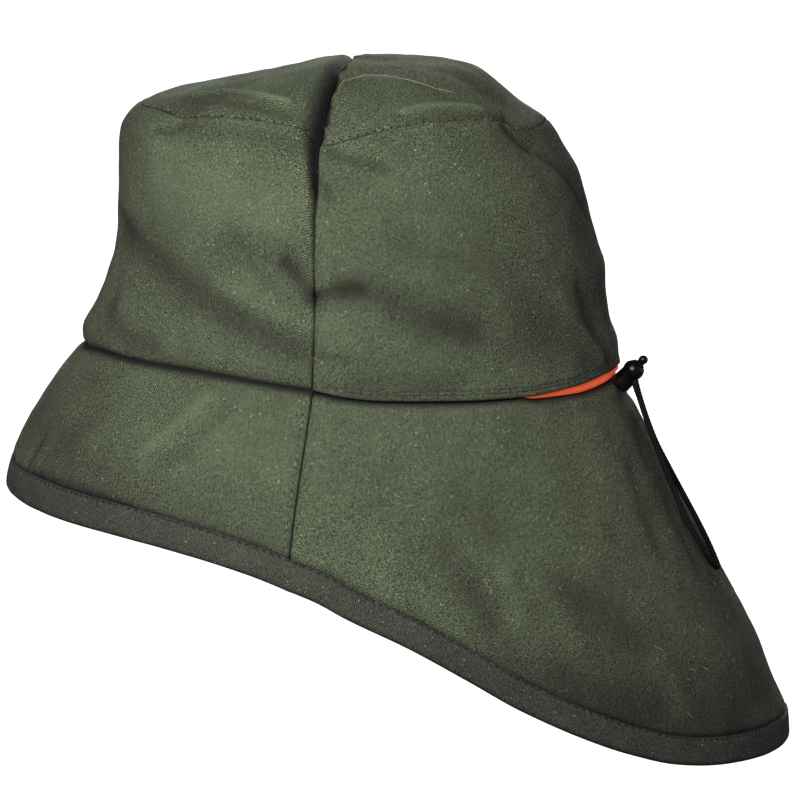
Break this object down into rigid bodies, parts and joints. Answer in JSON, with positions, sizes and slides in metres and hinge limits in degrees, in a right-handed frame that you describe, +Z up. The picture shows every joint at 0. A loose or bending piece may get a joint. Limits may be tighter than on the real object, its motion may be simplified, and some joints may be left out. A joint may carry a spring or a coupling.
{
  "type": "sou'wester hat",
  "caption": "Waxed-cotton sou'wester with a two-part crown, short front brim, long neck flap and a drawcord with a spring cord lock.",
  "frame": {"origin": "middle of the head opening, level with the seam between crown and brim", "axes": "-Y is the way the wearer faces, +X the wearer's left, +Z up through the crown"},
  "size_m": [0.2448, 0.2978, 0.2569],
  "materials": {
    "tip_front": "dark olive waxed cotton twill, matt, in the shade of the groove",
    "tip_rear": "dark olive waxed cotton twill, matt with a soft bloom",
    "crown_front": "olive waxed cotton twill, matt with a soft bloom and pale lint",
    "crown_rear": "olive waxed cotton twill, matt with creases and pale lint",
    "brim_front": "olive waxed cotton twill, matt with a soft bloom",
    "neck_flap": "olive waxed cotton twill, matt with a soft bloom",
    "hem_strip": "the same waxed cotton folded as a strip, a shade darker",
    "inner_band": "bright orange lining cloth, matt",
    "drawcord_loop": "black braided elastic cord",
    "lock_body": "black moulded plastic with a soft shine",
    "lock_plunger": "black moulded plastic with a soft shine"
  },
  "bodies": {
    "hat": {"tip_front": "tip_front", "tip_rear": "tip_rear", "crown_front": "crown_front", "crown_rear": "crown_rear", "brim_front": "brim_front", "neck_flap": "neck_flap", "hem_strip": "hem_strip", "inner_band": "inner_band", "drawcord_loop": "drawcord_loop", "lock_body": "lock_body"},
    "plunger": {"lock_plunger": "lock_plunger"}
  },
  "joints": [
    {"name": "plunger_press", "type": "slide", "parent": "hat", "child": "plunger", "axis": [-0.1006, -0.6745, -0.7313], "range_m": [0, 0.0025], "stiffness_N_per_m": 300}
  ]
}
